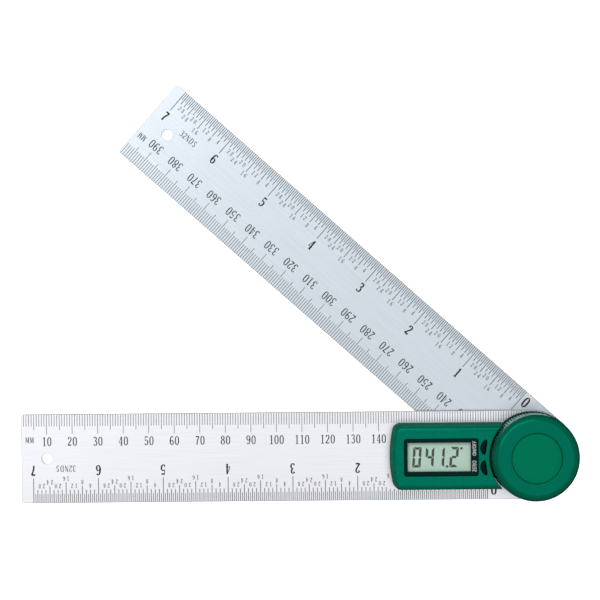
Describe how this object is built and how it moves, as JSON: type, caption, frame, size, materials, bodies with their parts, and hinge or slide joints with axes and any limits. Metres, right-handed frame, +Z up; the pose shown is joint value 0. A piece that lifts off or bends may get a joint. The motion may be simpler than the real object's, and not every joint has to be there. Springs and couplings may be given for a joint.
{
  "type": "digital angle finder",
  "caption": "Two graduated steel rules joined by a locking pivot, with a slim battery-powered display case reading the angle between them.",
  "frame": {"origin": "on the pivot axis, at the flat underside of the back cap that the tool rests on", "axes": "+Z up along the pivot axis, out of the lock knob; the upper rule runs along -X from the pivot; +Y towards its millimetre edge"},
  "size_m": [0.2174, 0.1632, 0.0184],
  "materials": {
    "satin_steel": "satin, lightly brushed across, with etched dark scales",
    "bright_steel": "turned or rolled, bright",
    "spring_brass": "plain",
    "green_abs": "gloss moulded",
    "black_abs": "gloss moulded",
    "nylon": "natural",
    "circuit_board": "solder mask",
    "flex_ribbon": "black covered polyimide film",
    "clear_lens": "clear moulded",
    "lcd": "reflective grey-green display behind polariser",
    "rubber": "matt"
  },
  "bodies": {
    "upper_arm": {"upper_blade": "satin_steel", "pivot_bush": "nylon", "wave_spring": "bright_steel", "case_base": "green_abs", "case_top": "green_abs", "stator_board": "circuit_board", "encoder_flex": "flex_ribbon", "window_bezel": "black_abs", "window_lens": "clear_lens", "lcd_panel": "lcd", "zebra_strip_upper": "rubber", "zebra_strip_lower": "rubber", "main_board": "circuit_board", "controller_chip": "black_abs", "key_pad": "rubber", "coin_cell": "bright_steel", "contact_negative": "spring_brass", "contact_positive": "spring_brass", "case_screw_1": "bright_steel", "case_screw_2": "bright_steel", "case_screw_3": "bright_steel", "case_screw_4": "bright_steel", "hub_screw_1": "bright_steel", "hub_screw_2": "bright_steel", "hub_screw_3": "bright_steel"},
    "lower_arm": {"lower_blade": "satin_steel", "pivot_stud": "bright_steel", "back_cap": "green_abs", "rotor_board": "circuit_board", "rotor_clip": "spring_brass"},
    "friction_ring": {"lock_ring": "nylon"},
    "knob": {"lock_knob": "green_abs", "knob_nut": "spring_brass", "knob_badge": "green_abs"},
    "on_off_key": {"key_on_off": "black_abs"},
    "zero_key": {"key_zero": "black_abs"},
    "door": {"battery_door": "black_abs"}
  },
  "joints": [
    {"name": "rule_pivot", "type": "hinge", "parent": "upper_arm", "child": "lower_arm", "pos_m": [0, 0, 0], "axis": [0, 0, 1], "continuous": true},
    {"name": "ring_lift", "type": "slide", "parent": "upper_arm", "child": "friction_ring", "axis": [0, 0, 1], "range_m": [0, 0.0006]},
    {"name": "knob_turn", "type": "hinge", "parent": "friction_ring", "child": "knob", "pos_m": [0, 0, 0.012], "axis": [0, 0, 1], "range_deg": [0, 270]},
    {"name": "on_off_press", "type": "slide", "parent": "upper_arm", "child": "on_off_key", "axis": [0, 0, -1], "range_m": [0, 0.00035], "stiffness_N_per_m": 2000, "springref_m": -0.0001},
    {"name": "zero_press", "type": "slide", "parent": "upper_arm", "child": "zero_key", "axis": [0, 0, -1], "range_m": [0, 0.00035], "stiffness_N_per_m": 2000, "springref_m": -0.0001},
    {"name": "door_turn", "type": "hinge", "parent": "upper_arm", "child": "door", "pos_m": [-0.039, 0, 0.0043], "axis": [0, 0, 1], "range_deg": [-45, 0]}
  ],
  "couplings": [
    {"joint": "ring_lift", "follows": "knob_turn", "m_per_rad": 0.00011937}
  ]
}
